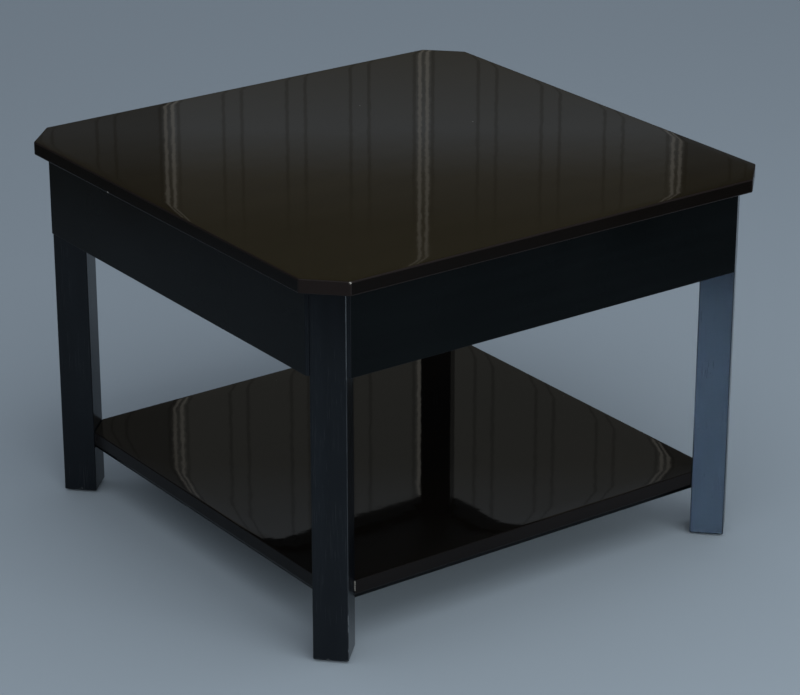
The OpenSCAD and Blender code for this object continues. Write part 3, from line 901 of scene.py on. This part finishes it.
# ---- Arms and bushes ----------------------------------------------------------------------------
# Two flat steel arms a side, blanked with round ends and ground along their length. Flanged nylon
# bushes pressed into their eyes keep them clear of the brackets.
arm_steel = bright_metal(
    "ground_arm", (0.36, 0.37, 0.38), (0.50, 0.51, 0.52),
    rough_low=0.24, rough_high=0.44, stretch=(1, 0.04, 1), scale=900, depth=0.00003)
nylon = plain_moulding(
    "natural_nylon", (0.66, 0.63, 0.55), (0.76, 0.74, 0.67), rough_low=0.36, rough_high=0.5, depth=0.00001)
for row in ("front", "rear"):
    for side in sides:
        bench_copy("%s_arm_%s" % (row, side), "%s_lift_arm_%s" % (row, side), (arm_steel,), "arm_steel",
                   row + "_arms", arris=0.0005)
    bench_copy(row + "_arm_bushes", row + "_bushes", (nylon,), "nylon", row + "_arms", arris=0.0002)

# ---- Top brackets -------------------------------------------------------------------------------
# A folded bracket hangs under each side of the top on four countersunk screws, and two riveted pins
# join it to the arms.
for side in sides:
    bench_copy("top_bracket_" + side, "top_plate_" + side, (zinc_plate,), "zinc_plate", "top", hardware_arris)
top_screws = bench_copy(
    "top_bracket_screws", "top_plate_screws", (screw_steel,), "screw_steel", "top", arris=0.0003)
cut_cross_recesses(top_screws, half_span=0.0020, half_slot=0.0005, deep=0.0009)
bench_copy("top_pivot_pins", "top_pins", (pin_steel,), "pin_steel", "top", hardware_arris)

# ---- Top panel ----------------------------------------------------------------------------------
# One board, sprayed gloss espresso like the shelf, with its corners clipped and its arrises well
# rounded. Its face falls away by about two tenths of a millimetre over the last centimetre and a half.
top_arris = 0.0017
rim_width = 0.014
rim_drop = 0.00022
rim_rings = 5

top_finish = gloss_espresso(
    "gloss_espresso_top", 0.00005, (0.0135, 0.0095, 0.0040), (0.0075, 0.0050, 0.0020), dusty=True)
top_low, top_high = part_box("top_panel")
corner_chip_down = 0.0008
corner_chip_reach = 0.0020
side_chip_y = 0.12
side_chip_up = 0.0005
side_chip_reach = 0.0022
top_chips = (
    ((top_low.x + corner_clip("top_panel"), top_low.y, top_high.z - corner_chip_down), corner_chip_reach),
    ((top_low.x, side_chip_y, top_low.z + side_chip_up), side_chip_reach),
)
top_edge = gloss_espresso(
    "gloss_espresso_top_edge", 0.00003, (0.0050, 0.0036, 0.0030), (0.0028, 0.0022, 0.0018),
    gloss=(0.2, 0.3), shine=0.06, pale_spots=top_chips)
# Painted highlight: the rounded arrises and the clipped corner faces get a paler brown with more shine than
# the other edges, for the light they catch; the chips laid on them are real
top_arris_highlight_and_chips = gloss_espresso(
    "gloss_espresso_arris_highlight_and_chips", 0.00003, (0.0170, 0.0125, 0.0115), (0.0100, 0.0075, 0.0070),
    gloss=(0.2, 0.3), shine=0.10, pale_spots=top_chips)
top = start_board("top_board", top_low, top_high - Vector((0, 0, rim_drop)))
clip_corners(top, corner_clip("top_panel"))
crown(top, rim_width, rim_drop, rim_rings)
dress(top, (top_finish, top_edge, top_arris_highlight_and_chips), "top_lacquer", "top", "top_panel")
paint_faces(top, 1, lambda normal: abs(normal.z) < 0.5)
# The clipped corner faces take the painted highlight finish
paint_faces(top, 2, lambda normal: abs(abs(normal.x) - abs(normal.y)) < 0.1 and abs(normal.z) < 0.1)
break_arrises(top, top_arris, 4, 2)

# ---- Bumpers ------------------------------------------------------------------------------------
# Four soft rubber buttons set in the front and back aprons take the closed top without a knock. They
# are moulded in black rubber and pushed into drilled holes.
bench_copy("top_bumpers", "bumpers", (stop_rubber,), "rubber", "root", arris=0.0009)
